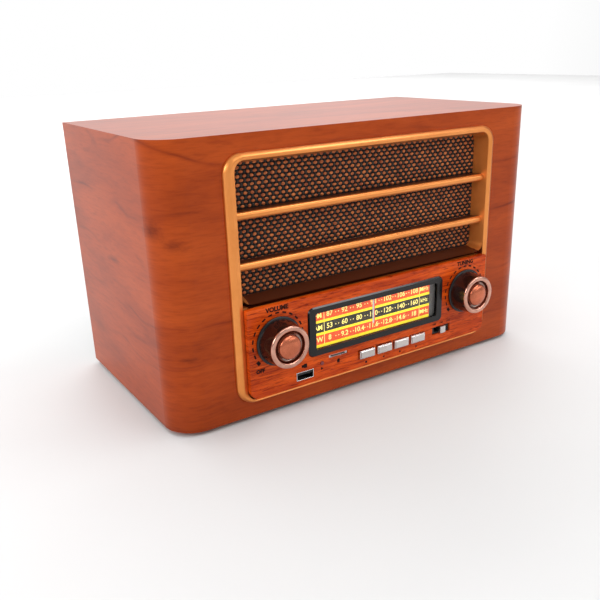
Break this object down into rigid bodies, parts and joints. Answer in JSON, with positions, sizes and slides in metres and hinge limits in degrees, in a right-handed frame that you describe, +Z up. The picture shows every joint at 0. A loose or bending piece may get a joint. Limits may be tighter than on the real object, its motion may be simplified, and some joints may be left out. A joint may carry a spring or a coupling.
{
  "type": "table radio",
  "caption": "Wooden table radio with slatted gold grille, lit dial with cord-driven pointer, two knobs, media sockets, push buttons, band switch, battery box and telescopic aerial.",
  "frame": {"origin": "middle of the bounding box seen from above, on the plane that the rubber feet stand on", "axes": "+X to the right of someone who faces the dial, the dial and knobs face -Y, +Z up"},
  "size_m": [0.3, 0.1898, 0.181],
  "materials": {
    "cherry_wood_film": "satin wood-grain film over 9 mm board, cherry colour",
    "raw_board": "raw fibreboard and softwood battens",
    "black_plastic": "fine-textured black moulded plastic",
    "zinc_steel": "zinc-plated steel",
    "black_rubber": "black rubber",
    "gold_plastic": "satin gold lacquer on moulded plastic",
    "grille_weave": "dark woven cloth with copper-coloured weft",
    "magnet_ferrite": "ferrite ring between steel plates",
    "speaker_paper": "black pressed paper cone",
    "panel_plastic": "bright wood-print plastic plate",
    "dial_black": "black gloss plastic",
    "clear_acrylic": "clear acrylic window",
    "dial_print": "yellow, red and black printed scale, lit from behind",
    "pointer_red": "red and clear plastic",
    "ivory_plastic": "ivory moulded plastic",
    "cord_green": "braided dial cord",
    "shaft_steel": "turned steel",
    "knob_lacquer": "dark cherry gloss plastic",
    "copper_trim": "copper-coloured spun aluminium",
    "board_green": "green soldermask on glass-fibre board",
    "nickel_plate": "bright nickel plate",
    "led_red": "tinted epoxy lens",
    "coil_copper": "enamelled copper winding with tape",
    "lamination_steel": "varnished steel laminations",
    "cell_jacket": "plain blue jacket over a steel can"
  },
  "bodies": {
    "cabinet": {"cabinet_wrap": "cherry_wood_film", "top_board": "cherry_wood_film", "bottom_board": "cherry_wood_film", "back_cleats": "raw_board", "back_panel": "black_plastic", "aerial_rest": "black_plastic", "wood_screws": "zinc_steel", "rubber_feet": "black_rubber", "grille_bezel": "gold_plastic", "grille_cloth": "grille_weave", "speaker_baffle": "raw_board", "speaker_frame": "zinc_steel", "speaker_magnet": "magnet_ferrite", "speaker_cone": "speaker_paper", "speaker_dust_cap": "speaker_paper", "speaker_screws": "zinc_steel", "control_panel": "panel_plastic", "dial_frame": "dial_black", "dial_lens": "clear_acrylic", "dial_scale": "dial_print", "pointer_rail": "shaft_steel", "dial_chassis": "zinc_steel", "dial_cord": "cord_green", "tuning_capacitor": "ivory_plastic", "volume_control": "zinc_steel", "main_board": "board_green", "usb_shell": "nickel_plate", "usb_tongue": "black_plastic", "card_socket": "nickel_plate", "tact_switches": "black_plastic", "play_led": "led_red", "band_switch_body": "black_plastic", "transformer_core": "lamination_steel", "transformer_coil": "coil_copper", "power_inlet": "black_plastic", "aux_jack": "nickel_plate", "battery_tray": "black_plastic", "battery_cells": "cell_jacket"},
    "tuning_control": {"tuning_knob_body": "knob_lacquer", "tuning_knob_ring": "copper_trim", "tuning_knob_cap": "copper_trim", "tuning_shaft": "shaft_steel"},
    "volume_knob": {"volume_knob_body": "knob_lacquer", "volume_knob_ring": "copper_trim", "volume_knob_cap": "copper_trim", "volume_shaft": "shaft_steel"},
    "dial_pointer": {"tuning_pointer": "pointer_red"},
    "dial_drum": {"dial_drum": "ivory_plastic"},
    "pulley_left": {"pulley_left": "ivory_plastic"},
    "pulley_right": {"pulley_right": "ivory_plastic"},
    "band_switch": {"band_switch_knob": "nickel_plate"},
    "push_button_1": {"push_button_1": "nickel_plate"},
    "push_button_2": {"push_button_2": "nickel_plate"},
    "push_button_3": {"push_button_3": "nickel_plate"},
    "push_button_4": {"push_button_4": "nickel_plate"},
    "battery_door": {"battery_door": "black_plastic"},
    "aerial_swivel": {"aerial_swivel": "nickel_plate"},
    "aerial_base_tube": {"aerial_base_tube": "nickel_plate"},
    "aerial_mid_tube": {"aerial_mid_tube": "nickel_plate"},
    "aerial_tip": {"aerial_tip": "nickel_plate"}
  },
  "joints": [
    {"name": "volume_turn", "type": "hinge", "parent": "cabinet", "child": "volume_knob", "pos_m": [-0.0804, -0.07815, 0.0535], "axis": [0, 1, 0], "range_deg": [0, 300]},
    {"name": "tuning_turn", "type": "hinge", "parent": "cabinet", "child": "tuning_control", "pos_m": [0.0804, -0.07815, 0.0535], "axis": [0, 1, 0], "range_deg": [-600, 690]},
    {"name": "pointer_travel", "type": "slide", "parent": "cabinet", "child": "dial_pointer", "axis": [1, 0, 0], "range_m": [-0.0411, 0.0472]},
    {"name": "drum_turn", "type": "hinge", "parent": "cabinet", "child": "dial_drum", "pos_m": [-0.015, -0.04915, 0.0418], "axis": [0, 1, 0], "range_deg": [-84, 96.5]},
    {"name": "pulley_left_turn", "type": "hinge", "parent": "cabinet", "child": "pulley_left", "pos_m": [-0.07, -0.04915, 0.069], "axis": [0, 1, 0], "range_deg": [-412, 474]},
    {"name": "pulley_right_turn", "type": "hinge", "parent": "cabinet", "child": "pulley_right", "pos_m": [0.07, -0.04915, 0.069], "axis": [0, 1, 0], "range_deg": [-412, 474]},
    {"name": "band_select", "type": "slide", "parent": "cabinet", "child": "band_switch", "axis": [1, 0, 0], "range_m": [-0.0045, 0.0045]},
    {"name": "button_1_press", "type": "slide", "parent": "cabinet", "child": "push_button_1", "axis": [0, 1, 0], "range_m": [0, 0.001], "stiffness_N_per_m": 300, "springref_m": -0.002},
    {"name": "button_2_press", "type": "slide", "parent": "cabinet", "child": "push_button_2", "axis": [0, 1, 0], "range_m": [0, 0.001], "stiffness_N_per_m": 300, "springref_m": -0.002},
    {"name": "button_3_press", "type": "slide", "parent": "cabinet", "child": "push_button_3", "axis": [0, 1, 0], "range_m": [0, 0.001], "stiffness_N_per_m": 300, "springref_m": -0.002},
    {"name": "button_4_press", "type": "slide", "parent": "cabinet", "child": "push_button_4", "axis": [0, 1, 0], "range_m": [0, 0.001], "stiffness_N_per_m": 300, "springref_m": -0.002},
    {"name": "battery_door_swing", "type": "hinge", "parent": "cabinet", "child": "battery_door", "pos_m": [0.038, 0.07955, 0.0203], "axis": [-1, 0, 0], "range_deg": [0, 85]},
    {"name": "aerial_turn", "type": "hinge", "parent": "cabinet", "child": "aerial_swivel", "pos_m": [-0.112, 0.07935, 0.153], "axis": [0, -1, 0], "range_deg": [0, 180]},
    {"name": "aerial_tilt", "type": "hinge", "parent": "aerial_swivel", "child": "aerial_base_tube", "pos_m": [-0.112, 0.09035, 0.153], "axis": [0, 0, 1], "range_deg": [0, 90]},
    {"name": "aerial_mid_extend", "type": "slide", "parent": "aerial_base_tube", "child": "aerial_mid_tube", "axis": [1, 0, 0], "range_m": [0, 0.15]},
    {"name": "aerial_tip_extend", "type": "slide", "parent": "aerial_mid_tube", "child": "aerial_tip", "axis": [1, 0, 0], "range_m": [0, 0.15]}
  ],
  "couplings": [
    {"joint": "pointer_travel", "follows": "tuning_turn", "m_per_rad": 0.0039},
    {"joint": "drum_turn", "follows": "tuning_turn", "ratio": 0.13879},
    {"joint": "pulley_left_turn", "follows": "tuning_turn", "ratio": 0.68421},
    {"joint": "pulley_right_turn", "follows": "tuning_turn", "ratio": 0.68421}
  ]
}
